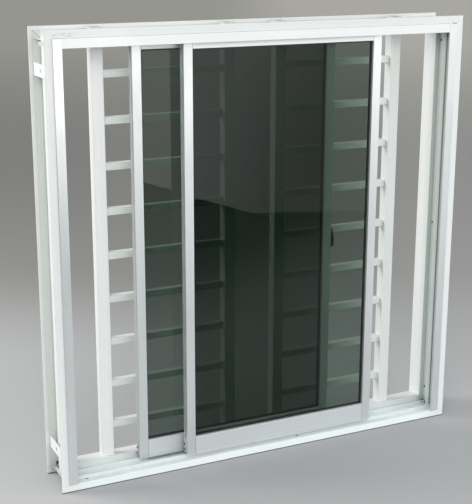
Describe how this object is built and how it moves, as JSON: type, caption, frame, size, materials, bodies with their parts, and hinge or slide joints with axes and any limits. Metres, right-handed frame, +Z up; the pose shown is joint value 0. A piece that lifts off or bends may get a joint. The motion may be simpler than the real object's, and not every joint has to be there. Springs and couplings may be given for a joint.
{
  "type": "aluminium sliding window with security grille",
  "caption": "White aluminium sliding window: dark glazed sashes on railed tracks in a deep channel surround, with ladder grilles of tube behind them.",
  "frame": {"origin": "on the floor, under the middle of the window's box", "axes": "+X to the right seen from the room side, +Y from the room towards the grille, +Z up"},
  "size_m": [1.205, 0.137, 1.2],
  "materials": {
    "frame_coat": "satin white powder coat",
    "sash_coat": "satin silver-white coat",
    "grille_coat": "satin white powder coat",
    "bar_coat": "satin grey-white coat",
    "anchor_coat": "white coated strap",
    "smoked_glass": "smoked green float glass",
    "gasket": "matt black",
    "roller": "moulded nylon",
    "latch": "moulded nylon"
  },
  "bodies": {
    "frame": {"sill": "frame_coat", "head": "frame_coat", "left_jamb": "frame_coat", "right_jamb": "frame_coat", "left_stop": "sash_coat", "right_stop": "sash_coat", "head_stop": "sash_coat", "left_anchors": "anchor_coat", "right_anchors": "anchor_coat", "left_outer_post": "grille_coat", "left_inner_post": "grille_coat", "left_bar_1": "bar_coat", "left_bar_2": "bar_coat", "left_bar_3": "bar_coat", "left_bar_4": "bar_coat", "left_bar_5": "bar_coat", "left_bar_6": "bar_coat", "left_bar_7": "bar_coat", "left_bar_8": "bar_coat", "left_bar_9": "bar_coat", "right_outer_post": "grille_coat", "right_inner_post": "grille_coat", "right_bar_1": "bar_coat", "right_bar_2": "bar_coat", "right_bar_3": "bar_coat", "right_bar_4": "bar_coat", "right_bar_5": "bar_coat", "right_bar_6": "bar_coat", "right_bar_7": "bar_coat", "right_bar_8": "bar_coat", "right_bar_9": "bar_coat"},
    "front_sash": {"front_sash_left_stile": "sash_coat", "front_sash_right_stile": "sash_coat", "front_sash_bottom_rail": "sash_coat", "front_sash_top_rail": "sash_coat", "front_sash_glass": "smoked_glass", "front_sash_gasket": "gasket", "front_sash_rollers": "roller"},
    "rear_sash": {"rear_sash_left_stile": "sash_coat", "rear_sash_right_stile": "sash_coat", "rear_sash_bottom_rail": "sash_coat", "rear_sash_top_rail": "sash_coat", "rear_sash_glass": "smoked_glass", "rear_sash_gasket": "gasket", "rear_sash_rollers": "roller", "rear_sash_latch": "latch"}
  },
  "joints": [
    {"name": "front_sash_slide", "type": "slide", "parent": "frame", "child": "front_sash", "axis": [1, 0, 0], "range_m": [-0.338, 0.23]},
    {"name": "rear_sash_slide", "type": "slide", "parent": "frame", "child": "rear_sash", "axis": [1, 0, 0], "range_m": [-0.2125, 0.3415]}
  ]
}
